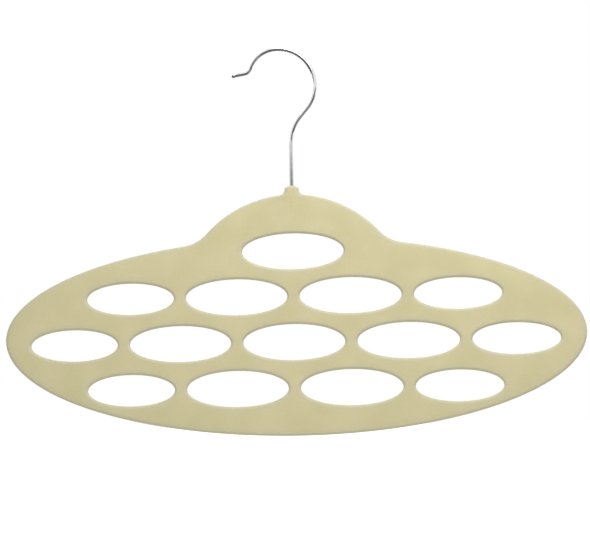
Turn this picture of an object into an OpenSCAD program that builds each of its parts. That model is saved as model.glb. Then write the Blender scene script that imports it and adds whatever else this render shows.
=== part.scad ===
// Scarf hanger: a flocked board with oval loops, hung from a swivelling wire hook.
// Millimetres. +X runs along the board, +Z is up, and the front faces -Y.
// The origin is the underside of the hook's crown, where a rail bears, straight above the swivel axis.

/* [Board] */
// Width of the board at its widest
board_w = 445; // [430:1:470]
// Height of the board's main oval, without the dome on top
board_h = 152; // [146:1:160]
// Thickness of the board over its flock
board_t = 5; // [4.4:0.1:7]
// Depth of the flock on every surface of the moulding
flock_t = 0.5; // [0.3:0.05:0.7]
// Radius of the dome that carries the hook
dome_r = 90; // [86:1:94]
// Height of the dome's top above the middle of the main oval
dome_top = 108.7; // [106:0.1:112]
// Distance from the centre line at which the dome's fillets run out on the main oval
fillet_foot = 84; // [82:1:90]

/* [Holes] */
// Width of a large hole
large_w = 78; // [70:0.5:79]
// Height of a large hole
large_h = 27.5; // [22:0.5:28.5]
// Width of a small hole, at the ends of the rows
small_w = 67; // [58:0.5:68]
// Height of a small hole
small_h = 24; // [18:0.5:25]
// Bar left between two holes of a row
bar_w = 9.4; // [8.5:0.1:10]
// Height from one row of holes to the next
row_pitch = 35.1; // [34:0.1:36]
// Distance of the widest row below the middle of the main oval
wide_row_drop = 4.5; // [3:0.5:6]
// Distance of the single top hole below its place in the row pitch
top_hole_drop = 0.7; // [0:0.1:3]

/* [Neck] */
// Height of the neck above the dome
neck_h = 7.3; // [6.5:0.1:9]
// Width of the neck
neck_w = 10.6; // [10:0.1:14]
// Radius of the fillets between the neck and the dome
neck_fillet_r = 5; // [4:0.1:5.2]
// Distance of the neck's flat shoulders below its tip
shoulder_drop = 1.7; // [1.5:0.1:2]
// Rounding of the shoulders' outer corners
shoulder_r = 1; // [0.8:0.1:1.5]
// Diameter of the round post that the wire stands in
post_d = 7.6; // [7.4:0.1:9]
// Radius of the post's domed tip
post_tip_r = 6; // [5:0.1:8]
// Length of the post at its full diameter
post_l = 14; // [13:0.5:17]
// Length over which the post sinks into the board below that
post_fade = 10; // [6:0.5:12]

/* [Hook] */
// Diameter of the wire
wire_d = 3; // [2.6:0.1:3.2]
// Length of straight stem that shows above the neck
stem_l = 33; // [20:0.5:60]
// Radius of the bend that leads the wire out to the right
bend_r = 30; // [15:0.5:40]
// Angle of that bend
bend_turn = 40; // [35:1:42]
// Length of the straight shank up to the crown
shank_l = 8.5; // [6:0.5:12]
// Radius of the crown
crown_r = 28.5; // [26:0.5:30]
// Angle that the crown turns through
crown_turn = 135; // [130:1:140]
// Radius of the tighter curve in front of the crown
nose_r = 22; // [18:0.5:24]
// Angle of that curve
nose_turn = 66; // [60:1:68]
// Radius of the bend that turns the tip out
lip_r = 5.5; // [4.5:0.5:8]
// Angle of that bend
lip_turn = 62; // [50:1:70]
// Length of the straight tip
tip_l = 8.5; // [6:0.5:12]
// Diameter of the rounded end of the tip
tip_d = 3.6; // [3.4:0.1:4]

/* [Swivel] */
// Gap all round the stem in its bore
stem_clearance = 0.05; // [0.02:0.01:0.08]
// Length of wire inside the neck, head included
stem_sunk = 11.5; // [11:0.5:12]
// Diameter of the head that keeps the wire in
head_d = 4.4; // [4:0.1:4.6]
// Thickness of the head
head_t = 1.6; // [1.2:0.1:2]
// Gap between the wire and the edge of the flock
mouth_clearance = 0.3; // [0.2:0.05:0.4]

/* [Hidden] */
$fn = 96;
wire_r = wire_d / 2;
board_a = board_w / 2;
board_b = board_h / 2;
overlap = 1;
// Each fillet cuts this far below the curves it touches, so that they cross and don't just graze
bite = 0.01;
// The faded end of the post lies this deep inside the board
post_root = 0.3;
// Height and length of the rings that join the wire's legs
seam_rise = 0.01;
seam_l = 0.2;

// Heights below are above the middle of the main oval, until the whole part is moved down to hang
// from its origin.
dome_z = dome_top - dome_r;
neck_top = dome_top + neck_h;
shoulder_z = neck_top - shoulder_drop;
head_z = neck_top - stem_sunk;

// The fillet's circle touches the main oval at its foot and the dome's circle at the other end.
foot = [fillet_foot, board_b * sqrt(1 - pow(fillet_foot / board_a, 2))];
foot_slope = [foot.x / pow(board_a, 2), foot.y / pow(board_b, 2)];
foot_normal = foot_slope / norm(foot_slope);
foot_arm = foot - [0, dome_z];
fillet_r = (foot_arm * foot_arm - pow(dome_r, 2)) / (2 * (dome_r - foot_arm * foot_normal));
fillet_centre = foot + fillet_r * foot_normal;

// The neck's fillet touches the dome's circle and the neck's upright side.
neck_fillet_x = neck_w / 2 + neck_fillet_r;
neck_fillet_z = dome_z + sqrt(pow(dome_r + neck_fillet_r, 2) - pow(neck_fillet_x, 2));

// The holes of a row stand bar_w apart, with a small one at each end.
large_pitch = large_w + bar_w;
end_pitch = (large_w + small_w) / 2 + bar_w;
top_row_z = 2 * row_pitch - wide_row_drop - top_hole_drop;

// The wire's legs from the head upwards: [length] for a straight one, [radius, turn] for a bend,
// which turns to the left where it is positive.
LEGS = [
    [stem_sunk + stem_l],
    [bend_r, -bend_turn],
    [shank_l],
    [crown_r, crown_turn],
    [nose_r, nose_turn],
    [lip_r, -lip_turn],
    [tip_l]
];
CROWN = 3;

// A pose is [x, z, heading] of the wire, and the heading is its angle above +X.
function arc_centre(pose, leg) =
    [pose.x, pose.y] + sign(leg[1]) * leg[0] * [-sin(pose.z), cos(pose.z)];
function arc_end(pose, leg) =
    arc_centre(pose, leg) + sign(leg[1]) * leg[0] * [sin(pose.z + leg[1]), -cos(pose.z + leg[1])];
function straight_end(pose, leg) = [pose.x, pose.y] + leg[0] * [cos(pose.z), sin(pose.z)];
function after(pose, leg) =
    len(leg) == 1
        ? concat(straight_end(pose, leg), pose.z)
        : concat(arc_end(pose, leg), pose.z + leg[1]);
function pose_at(i) = i == 0 ? [0, head_z, 90] : after(pose_at(i - 1), LEGS[i - 1]);

// Height of the crown's underside above the main oval, on the swivel axis
crown_centre = arc_centre(pose_at(CROWN), LEGS[CROWN]);
rail_z = crown_centre.y + sqrt(pow(crown_r - wire_r, 2) - pow(crown_centre.x, 2));

module oval(w, h) {
    scale([w / 2, h / 2]) circle(1);
}

// One row of holes, evenly spread about the centre line, with a small hole at each end
module hole_row(large_count, grow) {
    half_span = (large_count - 1) / 2 * large_pitch;
    for (i = [0:large_count - 1]) {
        translate([i * large_pitch - half_span, 0]) oval(large_w + grow, large_h + grow);
    }
    for (side = [-1, 1]) {
        translate([side * (half_span + end_pitch), 0]) oval(small_w + grow, small_h + grow);
    }
}

module holes(grow) {
    translate([0, top_row_z]) oval(large_w + grow, large_h + grow);
    for (step = [-1:1]) {
        translate([0, step * row_pitch - wide_row_drop]) hole_row(step == 0 ? 3 : 2, grow);
    }
}

// The blends that carry the main oval into the dome, one on each side
module dome_fillets(inset) {
    for (side = [0, 1]) {
        mirror([side, 0]) difference() {
            polygon([[0, dome_z], fillet_centre, foot - overlap * foot_normal]);
            translate(fillet_centre) circle(fillet_r + inset + bite);
        }
    }
}

module neck_outline(inset) {
    corner_z = shoulder_z - shoulder_r;
    half_w = neck_w / 2 - inset;
    corner_x = neck_w / 2 - shoulder_r;
    translate([-half_w, dome_z]) square([2 * half_w, corner_z - dome_z]);
    translate([-corner_x, dome_z]) square([2 * corner_x, shoulder_z - inset - dome_z]);
    for (side = [-1, 1]) {
        translate([side * corner_x, corner_z]) circle(shoulder_r - inset);
    }
    for (side = [0, 1]) {
        mirror([side, 0]) difference() {
            polygon([[0, dome_z], [neck_fillet_x, neck_fillet_z], [0, neck_fillet_z]]);
            translate([neck_fillet_x, neck_fillet_z]) circle(neck_fillet_r + inset + bite);
        }
    }
}

module board_outline(inset) {
    oval(board_w - 2 * inset, board_h - 2 * inset);
    translate([0, dome_z]) circle(dome_r - inset);
    dome_fillets(inset);
    neck_outline(inset);
}

// The round post that the wire stands in. It has a domed tip, and sinks into the board below.
module neck_post(inset) {
    post_r = post_d / 2 - inset;
    foot_r = board_t / 2 - inset - post_root;
    straight_z = neck_top - post_l;
    tip_z = neck_top - post_tip_r;
    translate([0, 0, straight_z]) cylinder(r = post_r, h = post_l - post_tip_r);
    translate([0, 0, straight_z - post_fade]) cylinder(r1 = foot_r, r2 = post_r, h = post_fade);
    intersection() {
        translate([0, 0, tip_z]) sphere(post_tip_r - inset);
        translate([0, 0, tip_z]) cylinder(r = post_r, h = post_tip_r);
    }
}

// The board's outer form at some depth below the flock's surface
module board_form(inset) {
    rotate([90, 0, 0])
        linear_extrude(board_t - 2 * inset, center = true)
        difference() {
            board_outline(inset);
            holes(2 * inset);
        }
    neck_post(inset);
}

// The stem's bore, with the pocket that the head turns in at its lower end
module swivel_socket() {
    bore_r = wire_r + stem_clearance;
    pocket_r = head_d / 2 + stem_clearance;
    pocket_t = head_t + 2 * stem_clearance;
    translate([0, 0, head_z - stem_clearance]) cylinder(r = pocket_r, h = pocket_t);
    translate([0, 0, head_z]) cylinder(r = bore_r, h = stem_sunk + overlap);
}

// Where two legs meet, a ring too thin to see or feel joins their flat ends into one wire.
module leg_seam(pose) {
    translate([pose.x, 0, pose.y])
        rotate([0, 90 - pose.z, 0])
        cylinder(r = wire_r + seam_rise, h = seam_l, center = true);
}

module wire_leg(pose, leg) {
    if (len(leg) == 1) {
        translate([pose.x, 0, pose.y])
            rotate([0, 90 - pose.z, 0])
            cylinder(r = wire_r, h = leg[0]);
    } else {
        centre = arc_centre(pose, leg);
        first_angle = leg[1] > 0 ? pose.z - 90 : pose.z + 90 + leg[1];
        translate([centre.x, 0, centre.y])
            rotate([90, 0, 0])
            rotate([0, 0, first_angle])
            rotate_extrude(angle = abs(leg[1]))
            translate([leg[0], 0])
            circle(wire_r);
    }
}

module hang() {
    translate([0, 0, -rail_z]) children();
}

module core_board() {
    color([0.82, 0.79, 0.68])
    hang()
    difference() {
        board_form(flock_t);
        swivel_socket();
    }
}

module flock_coat() {
    color([0.82, 0.79, 0.61])
    hang()
    difference() {
        board_form(0);
        board_form(flock_t);
        translate([0, 0, neck_top - post_tip_r])
            cylinder(r = wire_r + mouth_clearance, h = post_tip_r + overlap);
    }
}

module hook_wire() {
    end = pose_at(len(LEGS));
    color("silver")
    hang() {
        translate([0, 0, head_z]) cylinder(d = head_d, h = head_t);
        for (i = [0:len(LEGS) - 1]) {
            wire_leg(pose_at(i), LEGS[i]);
        }
        for (i = [1:len(LEGS) - 1]) {
            leg_seam(pose_at(i));
        }
        translate([end.x, 0, end.y]) sphere(d = tip_d);
    }
}

core_board();
flock_coat();
hook_wire();
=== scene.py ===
# %% [markdown]
# A velvet scarf hanger in three pieces: a flat plastic board with fourteen oval holes, a skin of short
# velvet fibres all over it, and a chromed wire hook that turns in the board's neck.
# The CAD model already says where every piece is and how the hook swivels, so it is loaded first and
# never moved. This lesson gives each piece the soft shape and the finish that a plain solid can't have.

import math

import bmesh
import bpy
import numpy as np
from mathutils import Matrix, Vector, noise
from mathutils.geometry import delaunay_2d_cdt
from mathutils.kdtree import KDTree


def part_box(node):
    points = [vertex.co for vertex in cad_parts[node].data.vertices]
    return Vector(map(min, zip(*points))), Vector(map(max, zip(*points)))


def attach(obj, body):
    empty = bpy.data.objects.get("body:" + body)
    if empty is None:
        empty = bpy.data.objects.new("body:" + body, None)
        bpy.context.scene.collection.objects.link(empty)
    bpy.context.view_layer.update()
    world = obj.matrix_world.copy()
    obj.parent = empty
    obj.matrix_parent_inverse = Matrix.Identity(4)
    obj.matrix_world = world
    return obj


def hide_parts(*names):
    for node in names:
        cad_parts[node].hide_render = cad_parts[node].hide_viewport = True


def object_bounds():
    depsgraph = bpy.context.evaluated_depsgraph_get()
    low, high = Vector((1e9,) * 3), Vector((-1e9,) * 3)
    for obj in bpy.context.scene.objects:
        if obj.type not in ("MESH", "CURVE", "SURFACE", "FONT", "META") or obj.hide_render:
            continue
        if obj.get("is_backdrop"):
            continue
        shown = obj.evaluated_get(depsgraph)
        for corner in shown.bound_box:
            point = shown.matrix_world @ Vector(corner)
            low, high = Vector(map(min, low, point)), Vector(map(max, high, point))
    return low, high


MM = 0.001
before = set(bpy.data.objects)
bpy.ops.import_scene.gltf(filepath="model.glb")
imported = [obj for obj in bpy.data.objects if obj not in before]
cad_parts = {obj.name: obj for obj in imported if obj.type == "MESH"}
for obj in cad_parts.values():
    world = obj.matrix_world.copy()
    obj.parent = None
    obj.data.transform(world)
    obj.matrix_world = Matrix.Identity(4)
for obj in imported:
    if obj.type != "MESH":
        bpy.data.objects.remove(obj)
cad_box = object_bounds()
coat_low, coat_high = (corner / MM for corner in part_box("flock_coat"))
hook_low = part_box("hook_wire")[0] / MM
print("board", [round(v, 1) for v in coat_high - coat_low], "mm")

# %% [markdown]
# The camera stands where the photographer stood: 1.5 m in front of the hanger, a touch to its right and
# a little below its middle, and tipped by one degree. A long lens at that distance keeps the wide board
# free of distortion. Its place is worked out from three angles, as on a tripod, because those are easier
# to read and to mend than a matrix.

# %% Camera
VIEW_DISTANCE = 1.5
VIEW_AZIMUTH = math.radians(3.38)
VIEW_ELEVATION = math.radians(-3.21)
VIEW_ROLL = math.radians(0.961)
AIM_RIGHT = 0.0015
AIM_BELOW_MIDDLE = 0.0248
LENS = 119.5
SENSOR = 36.0


def tripod_axes(azimuth, elevation, roll):
    back = Vector((
        math.sin(azimuth) * math.cos(elevation),
        -math.cos(azimuth) * math.cos(elevation),
        math.sin(elevation),
    ))
    level_right = Vector((math.cos(azimuth), math.sin(azimuth), 0))
    level_up = back.cross(level_right)
    right = level_right * math.cos(roll) - level_up * math.sin(roll)
    up = level_right * math.sin(roll) + level_up * math.cos(roll)
    return right, up, back


def make_camera():
    right, up, back = tripod_axes(VIEW_AZIMUTH, VIEW_ELEVATION, VIEW_ROLL)
    middle_z = (cad_box[0].z + cad_box[1].z) / 2
    aim = Vector((AIM_RIGHT, 0, middle_z - AIM_BELOW_MIDDLE))
    camera = bpy.data.objects.new("camera", bpy.data.cameras.new("camera"))
    bpy.context.scene.collection.objects.link(camera)
    turned = Matrix((right, up, back)).transposed().to_4x4()
    camera.matrix_world = Matrix.Translation(aim + VIEW_DISTANCE * back) @ turned
    camera.data.sensor_fit = "HORIZONTAL"
    camera.data.sensor_width = SENSOR
    camera.data.lens = LENS
    bpy.context.scene.camera = camera
    print("camera at", [round(v, 3) for v in aim + VIEW_DISTANCE * back])


make_camera()

# %% [markdown]
# The board is an oval 445 mm wide with a dome on top, and a short neck on the dome. Every stretch of its
# edge is part of an ellipse or a circle, so the outline is made by formula, as on a toolmaker's drawing.
# Each point also carries the direction that faces out of the board there. With it, the same outline can
# be drawn again a little further in, which is all that rounding a rim needs.

# %% Sizes of the board, in millimetres above the middle of its oval
BOARD_W = coat_high.x - coat_low.x
BOARD_H = 152
OVAL_Z = coat_low.z + BOARD_H / 2
DOME_R = 90
DOME_TOP = 108.7
DOME_Z = DOME_TOP - DOME_R
FILLET_FOOT = 84
NECK_TOP = coat_high.z - OVAL_Z
NECK_W = 10.6
NECK_FILLET_R = 5
SHOULDER_DROP = 1.7
SHOULDER_Z = NECK_TOP - SHOULDER_DROP
SHOULDER_R = 1
TIP_R = 6
TIP_Z = NECK_TOP - TIP_R
LARGE = (78, 27.5)
SMALL = (67, 24)
BAR = 9.4
ROW_PITCH = 35.1
WIDE_ROW_DROP = 4.5
TOP_HOLE_DROP = 0.7
print("neck's tip", round(NECK_TOP, 1), "mm above the middle of the oval")

# %% Arcs: rows of x, z and the outward direction


def arc(centre, radii, first, last, step, hollow=False):
    """Points about a step apart on an arc from one angle to another. A hollow arc faces its centre."""
    count = max(2, round(abs(last - first) * max(radii) / step))
    turns = np.linspace(first, last, count + 1)
    spokes = np.stack([np.cos(turns), np.sin(turns)], 1)
    outward = spokes / radii
    outward /= np.linalg.norm(outward, axis=1)[:, None]
    return np.hstack([centre + spokes * radii, -outward if hollow else outward])


def round_arc(centre, radius, seen_first, seen_last, step, hollow=False):
    """An arc of a circle from the direction of one point to that of another, the short way round."""
    ahead = [math.atan2(seen[1] - centre[1], seen[0] - centre[0]) for seen in (seen_first, seen_last)]
    turn = math.remainder(ahead[1] - ahead[0], math.tau)
    return arc(centre, (radius, radius), ahead[0], ahead[0] + turn, step, hollow)


def sunk(edge, depth):
    """The same edge, moved into the board by some depth."""
    moved = edge.copy()
    moved[:, :2] -= depth * edge[:, 2:]
    return moved


print("the dome's circle takes", len(arc((0, 0), (DOME_R, DOME_R), 0, math.tau, step=3)) - 1, "points")

# %% The outline, from the bottom of the oval up to the wire's mouth
NECK_FINER = 3
TIP_FINER = 6
MOUTH_SIDES = 32


def side_fillet(half):
    """The hollow arc between oval and dome: where on the oval it starts, its centre and its radius."""
    foot_turn = math.acos(FILLET_FOOT / half[0])
    foot = half * (math.cos(foot_turn), math.sin(foot_turn))
    outward = foot / half ** 2
    outward /= np.linalg.norm(outward)
    reach = foot - (0, DOME_Z)
    radius = (reach @ reach - DOME_R ** 2) / (2 * (DOME_R - reach @ outward))
    return foot_turn, foot, foot + radius * outward, radius


def right_side(mouth_turn, step):
    half = np.array([BOARD_W / 2, BOARD_H / 2])
    foot_turn, foot, fillet, fillet_r = side_fillet(half)
    dome = np.array([0, DOME_Z])
    neck_x = NECK_W / 2 + NECK_FILLET_R
    neck = np.array([neck_x, DOME_Z + math.sqrt((DOME_R + NECK_FILLET_R) ** 2 - neck_x ** 2)])
    corner = np.array([NECK_W / 2 - SHOULDER_R, SHOULDER_Z - SHOULDER_R])
    shoulder = corner + (SHOULDER_R, 0)
    tip = np.array([0, TIP_Z])
    shoulder_turn = math.asin((SHOULDER_Z - TIP_Z) / TIP_R)
    return np.vstack([
        arc((0, 0), half, -math.pi / 2, foot_turn, step)[:-1],
        round_arc(fillet, fillet_r, foot, dome, step, hollow=True)[:-1],
        round_arc(dome, DOME_R, fillet, neck, step)[:-1],
        round_arc(neck, NECK_FILLET_R, dome, shoulder, step / NECK_FINER, hollow=True),
        round_arc(corner, SHOULDER_R, shoulder, corner + (0, 1), step / TIP_FINER)[1:],
        arc(tip, (TIP_R, TIP_R), shoulder_turn, mouth_turn, step / TIP_FINER),
    ])


def outer_edge(sink, mouth_r, step):
    """The whole outline, sunk into the board by some depth, and which of its points are on the mouth."""
    tip_r = TIP_R - sink
    mouth_turn = math.acos(mouth_r / tip_r)
    right = sunk(right_side(mouth_turn, step), sink)
    left = right[:0:-1] * (-1, 1, -1, 1)
    turns = np.linspace(0, math.pi, MOUTH_SIDES // 2 + 1)[1:-1]
    mouth = np.stack([mouth_r * np.cos(turns), np.full(len(turns), tip_r * math.sin(mouth_turn))], 1)
    outward = mouth / np.linalg.norm(mouth, axis=1)[:, None]
    edge = np.vstack([right, np.hstack([mouth + (0, TIP_Z), outward]), left])
    first = len(right) - 1
    return edge, np.arange(first, first + len(turns) + 2)


print(len(outer_edge(sink=0, mouth_r=2, step=3)[0]), "points round the outside")

# %% [markdown]
# The fourteen holes follow one rule: every bar between two holes of a row is equally wide, and each row
# that has two or three large holes ends in a small one on both sides. So their places are worked out
# from the two sizes, the bar and the row pitch, and a change of one of these moves them all.

# %% Holes


def hole_places():
    """Centre and size of each hole: the top one, then three rows with a small hole at each end."""
    places = [((0, 2 * ROW_PITCH - WIDE_ROW_DROP - TOP_HOLE_DROP), LARGE)]
    for row, large_count in ((1, 2), (0, 3), (-1, 2)):
        z = row * ROW_PITCH - WIDE_ROW_DROP
        half_span = (large_count - 1) / 2 * (LARGE[0] + BAR)
        places += [((x, z), LARGE) for x in np.linspace(-half_span, half_span, large_count)]
        end_x = half_span + (LARGE[0] + SMALL[0]) / 2 + BAR
        places += [((side * end_x, z), SMALL) for side in (-1, 1)]
    return places


def hole_edge(centre, size, sink, step):
    return sunk(arc(centre, np.array(size) / 2, math.tau, 0, step, hollow=True)[:-1], sink)


print(len(hole_places()), "holes")

# %% [markdown]
# The moulding isn't a flat slab. Its rims are fully rounded, so that a scarf slides over them, and both
# faces fall away softly over the last 14 mm to the outer edge, which gives the upper edge its lighter
# band. Towards the neck it swells, because the wire stands in there, and the neck itself is a full oval
# in section with a domed tip. A bevel can't make all that, so the thickness is written as a formula of
# where a point lies and how near it is to the nearest edge.

# %% How near a point is to an edge


def ease(value, start, end):
    """Rises smoothly from 0 to 1 between two values."""
    part = np.clip((value - start) / (end - start), 0, 1)
    return part * part * (3 - 2 * part)


def gap_to(points, edges):
    """Distance of each point from the nearest edge, measured to the straight bits between its points."""
    corners = np.vstack([edge[:, :2] for edge in edges])
    after, before, start = [], [], 0
    for edge in edges:
        index = np.arange(len(edge))
        after.append(start + (index + 1) % len(edge))
        before.append(start + (index - 1) % len(edge))
        start += len(edge)
    tree = KDTree(len(corners))
    for index, (x, z) in enumerate(corners):
        tree.insert((x, z, 0), index)
    tree.balance()
    nearest = np.array([tree.find((x, z, 0))[1] for x, z in points])
    gap = np.full(len(points), np.inf)
    for neighbour in (np.concatenate(after), np.concatenate(before)):
        start_at = corners[nearest]
        along = corners[neighbour[nearest]] - start_at
        offset = points - start_at
        part = np.clip((offset * along).sum(1) / (along ** 2).sum(1), 0, 1)
        gap = np.minimum(gap, np.linalg.norm(offset - part[:, None] * along, axis=1))
    return gap


print("halfway between two values ease gives", ease(0.5, 0, 1))

# %% Thickness of the board at any point
SLAB_HALF_T = 2.5
RIM_HALF_T = 1.9
RIM_ROUND = 2.2
CROWN_REACH = 14
NECK_HALF_T = (coat_high.y - coat_low.y) / 2
NECK_POWER = 3
NECK_FROM = 103
NECK_FULL = 112
SWELL_W = 18
SWELL_H = 32
WAVE_SIZE = 16
WAVE_DEPTH = 0.045


def board_half_t(points, edge_gap, rim_gap, sink):
    """The flat of the board: rounded rims, a crown along the outer edge and a swelling under the neck."""
    crown = 1 - (1 - np.clip((rim_gap + sink) / CROWN_REACH, 0, 1)) ** 2
    below_neck = np.clip(NECK_FULL - points[:, 1], 0, None)
    reach = np.hypot(points[:, 0] / SWELL_W, below_neck / SWELL_H)
    swell = np.clip(1 - reach ** 2, 0, 1) ** 2
    waves = np.array([noise.noise(Vector((x, 0, z)) / WAVE_SIZE) for x, z in points])
    full = RIM_HALF_T + (SLAB_HALF_T - RIM_HALF_T) * crown + (NECK_HALF_T - SLAB_HALF_T) * swell
    rim = np.sqrt(1 - (1 - np.clip(edge_gap / (RIM_ROUND - sink), 0, 1)) ** 2)
    return (full + WAVE_DEPTH * waves - sink) * rim


def neck_half_t(points, outline, sink):
    """The neck: oval across, as wide as the outline at each height, and domed towards its tip."""
    right = outline[:len(outline) // 2 + 1]
    climbing = right[right[:, 1] > NECK_FROM - 1]
    half_w = np.interp(points[:, 1], climbing[:, 1], climbing[:, 0])
    across = np.clip(np.abs(points[:, 0]) / half_w, 0, 1)
    above = np.clip(points[:, 1] - TIP_Z, 0, TIP_R - sink)
    middle = np.minimum(NECK_HALF_T - sink, np.sqrt((TIP_R - sink) ** 2 - above ** 2))
    return middle * (1 - across ** NECK_POWER) ** (1 / NECK_POWER)


def half_thickness(points, edges, sink):
    edge_gap = gap_to(points, edges)
    board = board_half_t(points, edge_gap, gap_to(points, edges[:1]), sink)
    neck = neck_half_t(points, edges[0], sink)
    in_neck = ease(points[:, 1], NECK_FROM, NECK_FULL)
    return board + (neck - board) * in_neck, edge_gap


print("board", 2 * SLAB_HALF_T, "mm thick, neck", round(2 * NECK_HALF_T, 1), "mm")

# %% [markdown]
# Now the surface itself. Rings of points follow each edge inwards, close together at the rim where the
# surface turns fast, and four-sided faces join them. Inside the last rings a loose triangular grid fills
# the faces, and Blender's Delaunay fill joins the two. A solid cut out of a block and then bevelled would
# need fewer lines, but its faces would be long slivers that shade badly.

# %% Rings along the edges
NECK_RINGS_SHARE = 0.25


def rings_inward(edge, depth, ring_count):
    """The rings of one edge. They bunch up at the rim, and stay shallow in the narrow neck."""
    narrow = ease(edge[:, 1], NECK_FROM, NECK_FULL)
    reach = depth * (1 - (1 - NECK_RINGS_SHARE) * narrow)
    turns = np.linspace(0, math.pi / 2, ring_count + 1)
    offsets = [(1 - math.cos(turn)) * reach for turn in turns]
    return [edge[:, :2] - offset[:, None] * edge[:, 2:] for offset in offsets]


def strip(ring, next_ring):
    """Four-sided faces between two rings with the same number of points."""
    corners = [ring, np.roll(ring, -1), np.roll(next_ring, -1), next_ring]
    return np.stack(corners, 1).tolist()


print("a strip between rings of four has", len(strip(np.arange(4), np.arange(4, 8))), "faces")

# %% A grid inside the rings, and the fill between them
NECK_GRID_STEP = 1
NECK_GRID_W = 11
NECK_GRID_FROM = 92
GRID_SHARE = 1.25
GRID_CLEAR = 0.6
CONVEX_FILL = 0
SAME_PLACE = 1e-6


def inside(points, edge):
    """Whether each point is inside an edge, by counting the crossings of a line to its right."""
    result = np.zeros(len(points), bool)
    for (ax, az), (bx, bz) in zip(edge[:, :2], np.roll(edge[:, :2], -1, 0)):
        if az != bz:
            spans = (points[:, 1] < az) != (points[:, 1] < bz)
            result ^= spans & (points[:, 0] < ax + (points[:, 1] - az) * (bx - ax) / (bz - az))
    return result


def on_board(points, loops):
    """Whether each point is inside the first loop, the outline, and outside the others, the holes."""
    result = inside(points, loops[0])
    for loop in loops[1:]:
        result &= ~inside(points, loop)
    return result


def grid(low, high, step):
    """A triangular grid of points over a rectangle."""
    columns = np.arange(low[0], high[0], float(step))
    rows = np.arange(low[1], high[1], step * math.sqrt(3) / 2)
    x, z = np.meshgrid(columns, rows)
    x[1::2] += step / 2
    return np.stack([x.ravel(), z.ravel()], 1)


def fill_points(inner_rings, step):
    """A loose grid over the board and a finer one in its neck, clear of the innermost rings."""
    board = grid((-BOARD_W / 2, -BOARD_H / 2), (BOARD_W / 2, NECK_TOP), step)
    in_neck = (np.abs(board[:, 0]) < NECK_GRID_W) & (board[:, 1] > NECK_GRID_FROM)
    board = board[~in_neck]
    neck = grid((-NECK_GRID_W, NECK_GRID_FROM), (NECK_GRID_W, NECK_TOP), NECK_GRID_STEP)
    board = board[gap_to(board, inner_rings) > step * GRID_CLEAR]
    neck = neck[gap_to(neck, inner_rings) > NECK_GRID_STEP * GRID_CLEAR]
    points = np.vstack([board, neck])
    return points[on_board(points, inner_rings)]


def fill_faces(points, loops):
    """Triangles between the innermost rings and the grid, without those that would close a hole."""
    used = np.concatenate(loops + [np.arange(loops[-1][-1] + 1, len(points))])
    place = np.full(len(points), -1)
    place[used] = np.arange(len(used))
    flat = [Vector(point) for point in points[used]]
    sides = np.vstack([np.stack([place[loop], np.roll(place[loop], -1)], 1) for loop in loops])
    filled = delaunay_2d_cdt(flat, sides.tolist(), [], CONVEX_FILL, SAME_PLACE, False)
    faces = used[np.array(filled[2])]
    kept = on_board(points[faces].mean(1), [points[loop] for loop in loops])
    return faces[kept].tolist()


print("a grid over 10 mm by 10 mm has", len(grid((0, 0), (10, 10), NECK_GRID_STEP)), "points")

# %% [markdown]
# The front and the back are the same sheet, mirrored and sewn together along the rims, where the board's
# thickness runs out to nothing. One half is thus worked out and the other can't differ from it, as in a
# mould of two equal halves. Only the mouth at the neck's tip stays open for the wire.

# %% A skin: front and back sheets sewn along their rims


def front_sheet(edges, sink, step, ring_count):
    """Points and faces of one sheet, and which of its points are on a rim."""
    rings, faces, loops, rims, start = [], [], [], [], 0
    for edge in edges:
        rings += rings_inward(edge, RIM_ROUND - sink, ring_count)
        here = start + np.arange(len(edge))
        rims.append(here)
        for _ in range(ring_count):
            faces += strip(here, here + len(edge))
            here = here + len(edge)
        loops.append(here)
        start = here[-1] + 1
    inner_rings = rings[ring_count::ring_count + 1]
    points = np.vstack(rings + [fill_points(inner_rings, GRID_SHARE * step)])
    return points, faces + fill_faces(points, loops), np.concatenate(rims)


def sewn(points, half_t, faces):
    """The front sheet and its mirrored back, and the back's number of each front point."""
    off_rim = half_t > 0
    back = np.arange(len(points))
    back[off_rim] = len(points) + np.arange(off_rim.sum())
    front_verts = np.stack([points[:, 0], -half_t, points[:, 1] + OVAL_Z], 1)
    verts = np.vstack([front_verts, front_verts[off_rim] * (1, -1, 1)])
    back_faces = [[int(back[corner]) for corner in reversed(face)] for face in faces]
    return verts, faces + back_faces, back


def skin(sink, mouth_r, step, ring_count):
    """Both sheets of the board at some depth below its surface, open only at the mouth."""
    outline, mouth = outer_edge(sink, mouth_r, step)
    edges = [outline] + [hole_edge(centre, size, sink, step) for centre, size in hole_places()]
    points, faces, rims = front_sheet(edges, sink, step, ring_count)
    half_t, edge_gap = half_thickness(points, edges, sink)
    half_t[rims] = 0
    half_t[mouth] = np.sqrt(np.clip(mouth_r ** 2 - points[mouth, 0] ** 2, 0, None))
    half_t[mouth[[0, -1]]] = 0
    verts, faces, back = sewn(points, half_t, faces)
    ring = np.concatenate([mouth, back[mouth[-2:0:-1]]])
    return verts, faces, ring, np.concatenate([edge_gap, edge_gap[half_t > 0]])


print("each skin follows", 1 + len(hole_places()), "edges")

# %% [markdown]
# The mouth is lined with rings that step down the bore, like the walls of a turned hole. A skin that is
# a shell, such as the velvet, has an inner skin as well, and the lining joins the two. The plastic core is
# solid, so its lining goes on down to the pocket in which the wire's head turns, and closes there.

# %% Lining a bore, and making the mesh


def bore_rings(verts, faces, ring, stages):
    """Carries a ring of the mesh down the bore, through stages of (radius, height)."""
    spokes = verts[ring][:, :2]
    spokes = spokes / np.linalg.norm(spokes, axis=1)[:, None]
    for radius, z in stages:
        new_ring = len(verts) + np.arange(len(ring))
        verts = np.vstack([verts, np.hstack([spokes * radius, np.full((len(ring), 1), z)])])
        faces = faces + strip(ring, new_ring)
        ring = new_ring
    return verts, faces, ring


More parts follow.
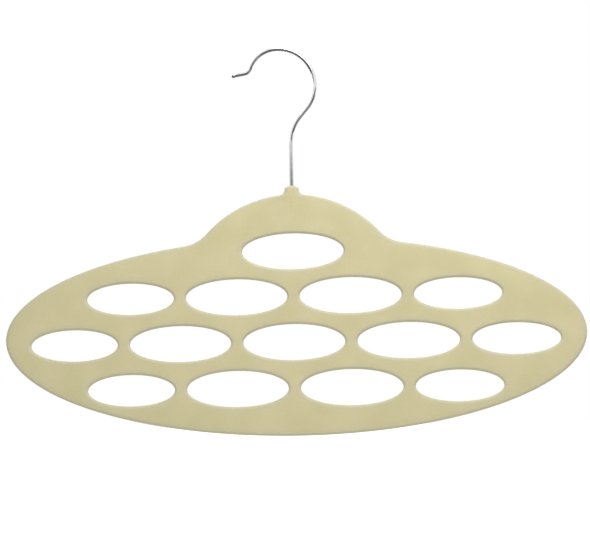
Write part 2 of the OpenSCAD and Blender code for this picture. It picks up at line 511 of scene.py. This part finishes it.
def make_piece(name, verts, faces, attributes=()):
    """A smooth mesh object in metres, with all its faces turned outwards."""
    mesh = bpy.data.meshes.new(name)
    mesh.from_pydata((np.asarray(verts) * MM).tolist(), [], faces)
    for label, kind, field, values in attributes:
        layer = mesh.attributes.new(label, kind, "POINT")
        layer.data.foreach_set(field, np.asarray(values, np.float32).ravel())
    work = bmesh.new()
    work.from_mesh(mesh)
    bmesh.ops.recalc_face_normals(work, faces=work.faces)
    open_edges = sum(1 for edge in work.edges if len(edge.link_faces) != 2)
    work.to_mesh(mesh)
    work.free()
    mesh.shade_smooth()
    piece = bpy.data.objects.new(name, mesh)
    bpy.context.scene.collection.objects.link(piece)
    print(name, len(mesh.vertices), "points,", len(mesh.polygons), "faces,", open_edges, "open edges")
    return piece


# %% [markdown]
# The core is the moulding under the velvet: the same form, half a millimetre smaller all round. It is out
# of sight, but it is a real piece and the velvet needs something to stand on. Its mesh can be coarser than
# the velvet's, because nobody sees its rims.

# %% The moulded core
FLOCK_T = 0.5
WIRE_R = 1.5
HEAD_R = 2.2
HEAD_T = 1.6
CLEARANCE = 0.05
INNER_STEP = 3.2
INNER_RINGS = 4


def make_core():
    bore_r = WIRE_R + CLEARANCE
    pocket_r = HEAD_R + CLEARANCE
    pocket_low = hook_low.z - CLEARANCE
    pocket_top = hook_low.z + HEAD_T + CLEARANCE
    verts, faces, ring, _ = skin(FLOCK_T, bore_r, INNER_STEP, INNER_RINGS)
    stages = [(bore_r, pocket_top), (pocket_r, pocket_top), (pocket_r, pocket_low)]
    verts, faces, ring = bore_rings(verts, faces, ring, stages)
    faces.append([int(corner) for corner in ring])
    return make_piece("moulded_core", verts, faces)


core = make_core()

# %% [markdown]
# The velvet is a shell half a millimetre thick. Its outer skin is the finest mesh of the lesson, because
# the light on its rounded rims is most of what the eye reads. The edge of the mouth is rounded too.
# Each point also keeps how near it is to an edge, which the velvet's painted sheen along the rims uses later.

# %% The velvet skin
MOUTH_R = 1.7
LIP_ROUND = 0.25
LIP_TURNS = np.radians((30, 60, 90))
VELVET_STEP = 2.4
VELVET_RINGS = 7
EDGE_NEAR = 4


def lip_stages(lip_z):
    """Radius and height of each ring round the lip of the mouth, from its top into the bore."""
    radii = MOUTH_R + LIP_ROUND * (1 - np.sin(LIP_TURNS))
    heights = lip_z - LIP_ROUND * (1 - np.cos(LIP_TURNS))
    return zip(radii, heights)


def make_velvet():
    verts, faces, ring, gap = skin(0, MOUTH_R + LIP_ROUND, VELVET_STEP, VELVET_RINGS)
    inner_verts, inner_faces, inner_ring, _ = skin(FLOCK_T, MOUTH_R, INNER_STEP, INNER_RINGS)
    verts, faces, ring = bore_rings(verts, faces, ring, lip_stages(verts[ring[0]][2]))
    faces += [[corner + len(verts) for corner in face] for face in inner_faces]
    faces += strip(ring, inner_ring + len(verts))
    verts = np.vstack([verts, inner_verts])
    near = np.zeros(len(verts))
    near[:len(gap)] = np.clip(1 - gap / EDGE_NEAR, 0, 1)
    return make_piece("velvet_board", verts, faces, [("edge_nearness", "FLOAT", "value", near)])


velvet = make_velvet()

# %% [markdown]
# The hook is one length of 3 mm steel wire. Its centre line is a row of straight legs and bends, as the
# bending machine makes it, and rings of points are set along it. The radius of the rings changes along
# the way: a flat head at the bottom, out of sight in the neck, and a small ball at the tip, which keeps
# the cut end from catching on clothes. A bevelled curve could give the wire, but not its two ends.

# %% The wire's centre line, as straight legs and bends of a radius and an angle
LEGS = [(44.5,), (30, -40), (8.5,), (28.5, 135), (22, 66), (5.5, -62), (8.5,)]


def leg_length(leg):
    return leg[0] * math.radians(abs(leg[1])) if len(leg) == 2 else leg[0]


def wire_pose(travelled):
    """Place and heading of the centre line at some distance from the wire's lower end."""
    place, heading = np.array([0, hook_low.z]), math.pi / 2
    for number, leg in enumerate(LEGS):
        length = leg_length(leg)
        last = number == len(LEGS) - 1
        part = travelled / length if last else min(1, travelled / length)
        turn = math.radians(leg[1]) * part if len(leg) == 2 else 0
        chord = 2 * leg[0] * math.sin(abs(turn) / 2) if len(leg) == 2 else leg[0] * part
        halfway = heading + turn / 2
        place = place + chord * np.array([math.cos(halfway), math.sin(halfway)])
        heading += turn
        travelled -= length
        if travelled <= 0:
            break
    return place, heading


WIRE_L = sum(map(leg_length, LEGS))
print("wire", round(WIRE_L), "mm long")

# %% Rings along the wire
HEAD_EDGE = 0.2
THROAT_EDGE = 0.15
BALL_R = 1.8
BALL_CLEAR = 0.3
BALL_RINGS = 14
WIRE_STEP = 1.2
WIRE_SIDES = 32


def wire_profile():
    """Distance along the wire and radius there, from the middle of the head to the tip of the ball."""
    head = [
        (0, 0),
        (0, HEAD_R - HEAD_EDGE),
        (HEAD_EDGE, HEAD_R),
        (HEAD_T - HEAD_EDGE, HEAD_R),
        (HEAD_T, HEAD_R - HEAD_EDGE),
        (HEAD_T, WIRE_R + THROAT_EDGE),
        (HEAD_T + THROAT_EDGE, WIRE_R),
    ]
    ball_from = math.sqrt(BALL_R ** 2 - WIRE_R ** 2)
    distances = np.arange(HEAD_T + WIRE_STEP, WIRE_L - ball_from - BALL_CLEAR, WIRE_STEP)
    turns = np.linspace(math.pi - math.asin(WIRE_R / BALL_R), 0, BALL_RINGS)
    ball = [(WIRE_L + BALL_R * math.cos(turn), BALL_R * math.sin(turn)) for turn in turns]
    return head + [(distance, WIRE_R) for distance in distances] + ball


def wire_ring(travelled, radius):
    """Points round the centre line, and where each lies in the wire's own measure, across and along."""
    place, heading = wire_pose(travelled)
    turns = np.arange(WIRE_SIDES if radius > 0 else 1) * math.tau / WIRE_SIDES
    lean = radius * np.cos(turns)
    x = place[0] - lean * math.sin(heading)
    z = place[1] + lean * math.cos(heading)
    verts = np.stack([x, radius * np.sin(turns), z], 1)
    drawn = np.stack([WIRE_R * np.cos(turns), WIRE_R * np.sin(turns), np.full(len(turns), travelled)], 1)
    return verts, drawn


def fan(ring, next_ring):
    """Triangles between a ring and a single point."""
    point, rim = sorted((ring, next_ring), key=len)
    return [[int(point[0]), int(a), int(b)] for a, b in zip(rim, np.roll(rim, -1))]


def make_hook():
    rings = [wire_ring(travelled, radius) for travelled, radius in wire_profile()]
    ends = np.cumsum([len(verts) for verts, _ in rings])
    numbers = np.split(np.arange(ends[-1]), ends[:-1])
    faces = []
    for ring, next_ring in zip(numbers, numbers[1:]):
        join = strip if len(ring) == len(next_ring) else fan
        faces += join(ring, next_ring)
    verts = np.vstack([verts for verts, _ in rings])
    drawn = np.vstack([drawn for _, drawn in rings]) * MM
    return make_piece("chrome_hook", verts, faces, [("drawn", "FLOAT_VECTOR", "vector", drawn)])


hook = make_hook()

# %% [markdown]
# Every piece now takes its place in the frame: it rides on a body, and the CAD solid that it dresses is
# hidden. The board swivels under the hook, so the core and the velvet ride together.

# %% Pieces ride on their bodies
for piece, body, node, finish in (
    (core, "board", "core_board", "board_plastic"),
    (velvet, "board", "flock_coat", "velvet_flock"),
    (hook, "hook", "hook_wire", "chromed_wire"),
):
    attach(piece, body)
    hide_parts(node)
    print(piece.name, "rides on", body)

# %% [markdown]
# A material is a tree of nodes. Placing a node always takes the same three moves: add it, set its
# options, and link its inputs or give them a number. One helper does all three, so that each material
# below reads as a list of what it is made of. A Mix node has inputs of the same name for numbers and for
# colours, so those are told apart by their place in its list.

# %% Helpers for nodes
COLOUR_A, COLOUR_B, MIXED = 6, 7, 2
VALUE_A, VALUE_B = 2, 3


def feed(node, inputs):
    """Links a node's inputs, or sets them where a plain value is given."""
    for name, value in inputs.items():
        if isinstance(value, bpy.types.NodeSocket):
            node.id_data.links.new(value, node.inputs[name])
        else:
            node.inputs[name].default_value = value


def add(tree, kind, inputs=None, **settings):
    """Adds a shader node, sets its options and feeds its inputs."""
    made = tree.nodes.new("ShaderNode" + kind)
    for name, value in settings.items():
        setattr(made, name, value)
    feed(made, inputs or {})
    return made


def new_group(name, inputs, outputs):
    """An empty node group with named sockets, given as (name, kind)."""
    tree = bpy.data.node_groups.new(name, "ShaderNodeTree")
    for label, kind in inputs:
        tree.interface.new_socket(label, in_out="INPUT", socket_type="NodeSocket" + kind)
    for label, kind in outputs:
        tree.interface.new_socket(label, in_out="OUTPUT", socket_type="NodeSocket" + kind)
    return tree, tree.nodes.new("NodeGroupInput").outputs, tree.nodes.new("NodeGroupOutput").inputs


def new_material(name):
    material = bpy.data.materials.new(name)
    material.use_nodes = True
    tree = material.node_tree
    return material, tree, tree.nodes["Principled BSDF"]


print("a Mix node takes colours at", COLOUR_A, "and", COLOUR_B, "and numbers at", VALUE_A, "and", VALUE_B)

# %% [markdown]
# Three effects are each made once, as a node group. Several materials share the fine grain and the soft
# patches of a second colour. The third, a painted sheen colour along the edges with a speckle over all,
# is for the velvet. A group only works out values and colours. The shader stays in the material, where
# its fixed numbers are set on its own sockets.

# %% The effects
GRAIN_SPREAD = {"From Min": 0.3, "From Max": 0.7}
PATCH_SPREAD = {"From Min": 0.35, "From Max": 0.65}


def grain_group():
    """Grain from 0 to 1, with specks of the given size in metres."""
    tree, given, out = new_group("Fine grain", [("Place", "Vector"), ("Size", "Float")], [("Grain", "Float")])
    scale = add(tree, "Math", {0: 1.0, 1: given["Size"]}, operation="DIVIDE")
    cloud = {"Vector": given["Place"], "Scale": scale.outputs[0], "Detail": 3, "Roughness": 0.6}
    specks = add(tree, "TexNoise", cloud)
    spread = add(tree, "MapRange", {"Value": specks.outputs[0], **GRAIN_SPREAD})
    tree.links.new(spread.outputs[0], out["Grain"])
    return tree


def patch_group():
    """Two colours in soft patches of the given size in metres."""
    sockets = [("Place", "Vector"), ("Size", "Float"), ("Colour", "Color"), ("Patch Colour", "Color")]
    tree, given, out = new_group("Soft patches", sockets, [("Colour", "Color")])
    scale = add(tree, "Math", {0: 1.0, 1: given["Size"]}, operation="DIVIDE")
    cloud = add(tree, "TexNoise", {"Vector": given["Place"], "Scale": scale.outputs[0], "Detail": 1})
    mask = add(tree, "MapRange", {"Value": cloud.outputs[0], **PATCH_SPREAD})
    colours = {0: mask.outputs[0], COLOUR_A: given["Colour"], COLOUR_B: given["Patch Colour"]}
    mix = add(tree, "Mix", colours, data_type="RGBA")
    tree.links.new(mix.outputs[MIXED], out["Colour"])
    return tree


def sheen_edge_group():
    """A painted sheen colour along the edges, and a speckle of the grain over everything."""
    sockets = [("Colour", "Color"), ("Painted Sheen Colour", "Color"), ("Grain", "Float"), ("Speckle", "Float")]
    tree, given, out = new_group("Painted edge sheen and speckle", sockets, [("Colour", "Color")])
    # the edge colour is painted sheen, mixed in by nearness to an edge
    near = add(tree, "Attribute", attribute_name="edge_nearness")
    colours = {0: near.outputs["Fac"], COLOUR_A: given["Colour"], COLOUR_B: given["Painted Sheen Colour"]}
    edged = add(tree, "Mix", colours, data_type="RGBA")
    lightest = add(tree, "Math", {0: 1.0, 1: given["Speckle"]}, operation="ADD").outputs[0]
    darkest = add(tree, "Math", {0: 1.0, 1: given["Speckle"]}, operation="SUBTRACT").outputs[0]
    level = add(tree, "MapRange", {"Value": given["Grain"], "To Min": darkest, "To Max": lightest})
    shade = add(tree, "VectorMath", {0: edged.outputs[MIXED], "Scale": level.outputs[0]}, operation="SCALE")
    tree.links.new(shade.outputs[0], out["Colour"])
    return tree


GROUPS = {"grain": grain_group(), "patches": patch_group(), "edges": sheen_edge_group()}


def place_group(tree, name, inputs):
    return add(tree, "Group", inputs, node_tree=GROUPS[name]).outputs[0]


def dress(piece, material):
    piece.data.materials.append(material)
    print(piece.name, "is finished in", material.name, "of", len(material.node_tree.nodes), "nodes")


print("effects:", ", ".join(group.name for group in GROUPS.values()))

# %% [markdown]
# Flock is a pile of nylon fibres half a millimetre long that stand up in glue. It has no gloss, but its
# fibre tips catch light from the side, which a sheen layer gives. Up close it is a fine speckle, and
# from further off the nap lies a little differently from patch to patch, so the cream shifts softly.
# Along the rims, where the fibres fan out, a greyer colour is mixed in: painted sheen.

# %% Velvet
VELVET = (0.60, 0.545, 0.315, 1)
VELVET_PATCH = (0.635, 0.575, 0.345, 1)
# painted sheen: the greyer, bluer colour mixed in along the rims
VELVET_SHEEN_EDGE = (0.575, 0.545, 0.37, 1)
NAP_PATCH = 0.03
FIBRE = 0.0004
FIBRE_DEPTH = 0.00012
TUFT = 0.0022
TUFT_DEPTH = 0.00008
SPECKLE = 0.07


def velvet_material():
    material, tree, shader = new_material("velvet flock")
    place = add(tree, "TexCoord").outputs["Object"]
    nap = {"Place": place, "Size": NAP_PATCH, "Colour": VELVET, "Patch Colour": VELVET_PATCH}
    patches = place_group(tree, "patches", nap)
    fibres = place_group(tree, "grain", {"Place": place, "Size": FIBRE})
    tufts = place_group(tree, "grain", {"Place": place, "Size": TUFT})
    speckled = {"Colour": patches, "Painted Sheen Colour": VELVET_SHEEN_EDGE, "Grain": fibres, "Speckle": SPECKLE}
    soft = add(tree, "Bump", {"Height": tufts, "Distance": TUFT_DEPTH, "Strength": 0.5}).outputs[0]
    stubble = {"Height": fibres, "Distance": FIBRE_DEPTH, "Strength": 0.6, "Normal": soft}
    feed(shader, {
        "Base Color": place_group(tree, "edges", speckled),
        "Normal": add(tree, "Bump", stubble).outputs[0],
        "Roughness": 0.95,
        "Specular IOR Level": 0.12,
        "Sheen Weight": 0.4,
        "Sheen Roughness": 0.45,
        "Sheen Tint": (1, 0.97, 0.85, 1),
    })
    return material


dress(velvet, velvet_material())

# %% [markdown]
# The core is plain moulded plastic in nearly the velvet's own colour, so that a worn spot wouldn't show.
# Like most moulded plastic it is a little uneven in gloss, and the shared grain gives that.

# %% Plastic
PLASTIC = (0.60, 0.55, 0.38, 1)
PLASTIC_PATCH = (0.57, 0.52, 0.35, 1)
PLASTIC_PATCH_SIZE = 0.03
MOULD_GRAIN = 0.001
MOULD_GRAIN_DEPTH = 0.00003
GLOSSIEST_PLASTIC = 0.42
DULLEST_PLASTIC = 0.55


def plastic_material():
    material, tree, shader = new_material("moulded plastic")
    place = add(tree, "TexCoord").outputs["Object"]
    batch = {"Place": place, "Size": PLASTIC_PATCH_SIZE, "Colour": PLASTIC, "Patch Colour": PLASTIC_PATCH}
    grain = place_group(tree, "grain", {"Place": place, "Size": MOULD_GRAIN})
    gloss = {"Value": grain, "To Min": GLOSSIEST_PLASTIC, "To Max": DULLEST_PLASTIC}
    relief = {"Height": grain, "Distance": MOULD_GRAIN_DEPTH, "Strength": 0.4}
    feed(shader, {
        "Base Color": place_group(tree, "patches", batch),
        "Roughness": add(tree, "MapRange", gloss).outputs[0],
        "Normal": add(tree, "Bump", relief).outputs[0],
    })
    return material


dress(core, plastic_material())

# %% [markdown]
# The hook is drawn wire with bright chrome plating. Chrome is almost a mirror, so its look comes from
# what it mirrors, which the studio below provides. What is its own is a faint grain of lines along the
# wire, left by drawing it, and a slight unevenness of the plating. The lines follow the wire because the
# mesh carries the wire's own measure, across and along it.

# %% Chrome
CHROME = (0.77, 0.775, 0.785, 1)
CHROME_DULL = (0.71, 0.715, 0.725, 1)
DRAWN_LINE = 0.00025
DRAWN_DEPTH = 0.000004
LINE_STRETCH = 0.03
PLATING_PATCH = 0.004
BRIGHTEST_CHROME = 0.08
DULLEST_CHROME = 0.15


def chrome_material():
    material, tree, shader = new_material("chromed wire")
    along = add(tree, "Attribute", attribute_name="drawn").outputs["Vector"]
    drawn = add(tree, "Mapping", {"Vector": along, "Scale": (1, 1, LINE_STRETCH)}).outputs[0]
    lines = place_group(tree, "grain", {"Place": drawn, "Size": DRAWN_LINE})
    plating = {"Place": along, "Size": PLATING_PATCH, "Colour": CHROME, "Patch Colour": CHROME_DULL}
    gloss = {"Value": lines, "To Min": BRIGHTEST_CHROME, "To Max": DULLEST_CHROME}
    scores = {"Height": lines, "Distance": DRAWN_DEPTH, "Strength": 0.5}
    feed(shader, {
        "Base Color": place_group(tree, "patches", plating),
        "Roughness": add(tree, "MapRange", gloss).outputs[0],
        "Normal": add(tree, "Bump", scores).outputs[0],
        "Metallic": 1,
    })
    return material


dress(hook, chrome_material())

# %% [markdown]
# The studio is a pale floor in an evenly white room, with a soft lamp in front and another behind. The
# floor is plain paper that takes the hanger's shadow. Further out it glows by itself and so runs into
# the white of the room without a horizon. That glow is only seen, and lights nothing.

# %% Floor
FLOOR_Z = -0.42
FLOOR_HALF = 6
POOL_FROM = 0.35
POOL_TO = 1.1
PAPER = (0.76, 0.76, 0.76, 1)
PAPER_PATCH = (0.75, 0.75, 0.75, 1)
PAPER_PATCH_SIZE = 0.12
PAPER_GLOW = 0.05
WHITE = (1, 1, 1, 1)


def seen_directly(tree):
    """1 for camera rays and for mirrored or refracted ones, and 0 for the rays that light things."""
    path = add(tree, "LightPath").outputs
    shown = add(tree, "Math", {0: path["Is Camera Ray"], 1: path["Is Glossy Ray"]}, operation="MAXIMUM")
    shown = add(tree, "Math", {0: shown.outputs[0], 1: path["Is Transmission Ray"]}, operation="MAXIMUM")
    return shown.outputs[0]


def stage_object(name, verts, faces, material):
    mesh = bpy.data.meshes.new(name)
    mesh.from_pydata(verts, [], faces)
    made = bpy.data.objects.new(name, mesh)
    bpy.context.scene.collection.objects.link(made)
    dress(made, material)
    made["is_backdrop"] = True
    return made


def floor_material():
    """Pale paper that keeps shadows near the hanger and runs out into the white beyond."""
    material, tree, shader = new_material("floor paper")
    place = add(tree, "TexCoord").outputs["Object"]
    radius = add(tree, "VectorMath", {0: place}, operation="LENGTH").outputs["Value"]
    pool = {"Value": radius, "From Min": POOL_FROM, "From Max": POOL_TO, "To Min": PAPER_GLOW, "To Max": 1.0}
    beyond = add(tree, "MapRange", pool, interpolation_type="SMOOTHSTEP").outputs[0]
    glow = add(tree, "Math", {0: beyond, 1: seen_directly(tree)}, operation="MULTIPLY").outputs[0]
    paper = {"Place": place, "Size": PAPER_PATCH_SIZE, "Colour": PAPER, "Patch Colour": PAPER_PATCH}
    feed(shader, {
        "Base Color": place_group(tree, "patches", paper),
        "Emission Strength": glow,
        "Emission Color": WHITE,
        "Roughness": 0.9,
        "Specular IOR Level": 0.1,
    })
    return material


def make_floor():
    half = FLOOR_HALF
    corners = [(-half, -half, 0), (half, -half, 0), (half, half, 0), (-half, half, 0)]
    floor = stage_object("floor", corners, [(0, 1, 2, 3)], floor_material())
    floor.location.z = FLOOR_Z


make_floor()

# %% [markdown]
# Chrome in an all-white room would vanish against the background, so the photographer stands it in a
# bowl of black paper that only mirror-like surfaces see. Whatever faces up mirrors the white room, and
# whatever faces down mirrors the bowl, which draws the dark line along the underside of the wire. The
# bowl's rim fades out at just the height that the upright stem mirrors, so the stem turns from dark grey
# at the neck to white further up. Its two open sides light the stem's edges. To the right of the hanger
# the bottom is grey, since the slanting shank of the hook mirrors that part and is paler than the crown.

# %% Black bowl
BOWL_R = 2.6
BOWL_LIFT = 0.002
BOWL_BLACK_TO = 0.14
BOWL_CLEAR_FROM = 0.26
BOWL_BLACK = (0.13, 0.13, 0.13, 1)
BOWL_GREY = (0.36, 0.36, 0.36, 1)
GREY_FROM = 0.25
GREY_FULL = 0.45
BOWL_SIDES = 90
OPEN_FROM = 76
OPEN_TO = 140
UNSEEN_BY = ("visible_camera", "visible_diffuse", "visible_transmission", "visible_shadow")


def disc_material():
    """Paper that is black under the hanger and grey to the right of it."""
    material, tree, shader = new_material("dark paper")
    place = add(tree, "TexCoord").outputs["Object"]
    across = add(tree, "SeparateXYZ", {0: place}).outputs["X"]
    greyness = add(tree, "MapRange", {"Value": across, "From Min": GREY_FROM, "From Max": GREY_FULL})
    colours = {0: greyness.outputs[0], COLOUR_A: BOWL_BLACK, COLOUR_B: BOWL_GREY}
    shade = add(tree, "Mix", colours, data_type="RGBA").outputs[MIXED]
    feed(shader, {"Base Color": shade, "Roughness": 0.9})
    return material


def wall_material():
    """Black paper that fades to clear between two heights."""
    material, tree, shader = new_material("black paper")
    place = add(tree, "TexCoord").outputs["Object"]
    height = add(tree, "SeparateXYZ", {0: place}).outputs["Z"]
    fade = {"From Min": BOWL_BLACK_TO, "From Max": BOWL_CLEAR_FROM, "To Min": 1.0, "To Max": 0.0}
    solid = add(tree, "MapRange", {"Value": height, **fade}, interpolation_type="SMOOTHSTEP").outputs[0]
    feed(shader, {"Base Color": BOWL_BLACK, "Alpha": solid, "Roughness": 0.9})
    return material


def make_bowl():
    from_front = np.linspace(-180, 180, BOWL_SIDES, endpoint=False)
    turns = np.radians(from_front - 90)
    spokes = [(BOWL_R * math.cos(turn), BOWL_R * math.sin(turn)) for turn in turns]
    verts = [(x, y, z) for z in (FLOOR_Z + BOWL_LIFT, BOWL_CLEAR_FROM) for x, y in spokes]
    low, high = np.arange(BOWL_SIDES), np.arange(BOWL_SIDES) + BOWL_SIDES
    open_side = (np.abs(from_front) >= OPEN_FROM) & (np.abs(from_front) < OPEN_TO)
    wall = [face for face, is_open in zip(strip(low, high), open_side) if not is_open]
    for part in (
        stage_object("dark_disc", verts[:BOWL_SIDES], [low.tolist()], disc_material()),
        stage_object("black_wall", verts, wall, wall_material()),
    ):
        for rays in UNSEEN_BY:
            setattr(part, rays, False)


make_bowl()

# %% [markdown]
# The room is evenly lit, and the pale floor throws some of that light back up, which keeps the undersides
# of the rims from going black. The key lamp hangs half a metre in front of the hanger, well above it and a
# little to its right, so the dome and the right end get more of its light than the bottom and the left
# end. A second lamp, further off behind, keeps the back from lying in the dark.

# %% World and lamps
ROOM_LIGHT = 0.46
KEY_PLACE = (0.2, -0.5, 0.5)
KEY_SIZE = (0.6, 0.4)
KEY_POWER = 6.6
BACK_PLACE = (-0.4, 1.3, 0.5)
BACK_SIZE = (0.8, 0.8)
BACK_POWER = 14


def make_world():
    world = bpy.data.worlds.new("white room")
    bpy.context.scene.world = world
    world.use_nodes = True
    tree = world.node_tree
    strength = add(tree, "Mix", {0: seen_directly(tree), VALUE_A: ROOM_LIGHT, VALUE_B: 1.0})
    feed(tree.nodes["Background"], {"Color": WHITE, "Strength": strength.outputs[0]})


def make_lamp(name, place, size, power):
    light = bpy.data.lights.new(name, "AREA")
    light.shape = "RECTANGLE"
    light.size, light.size_y = size
    light.energy = power
    lamp = bpy.data.objects.new(name, light)
    bpy.context.scene.collection.objects.link(lamp)
    lamp.location = place
    aim = Vector((0, 0, coat_low.z * MM / 2))
    lamp.rotation_euler = (aim - Vector(place)).to_track_quat("-Z", "Y").to_euler()
    print(name, "lamp", round((aim - Vector(place)).length, 2), "m from the middle of the hanger")


make_world()
make_lamp("key", KEY_PLACE, KEY_SIZE, KEY_POWER)
make_lamp("back", BACK_PLACE, BACK_SIZE, BACK_POWER)
bpy.context.scene.view_settings.view_transform = "Standard"

# %% Measure and finish
dressed_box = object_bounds()
for label, box in (("CAD", cad_box), ("dressed", dressed_box)):
    print(label, "size", [round(v / MM, 2) for v in box[1] - box[0]], "mm")
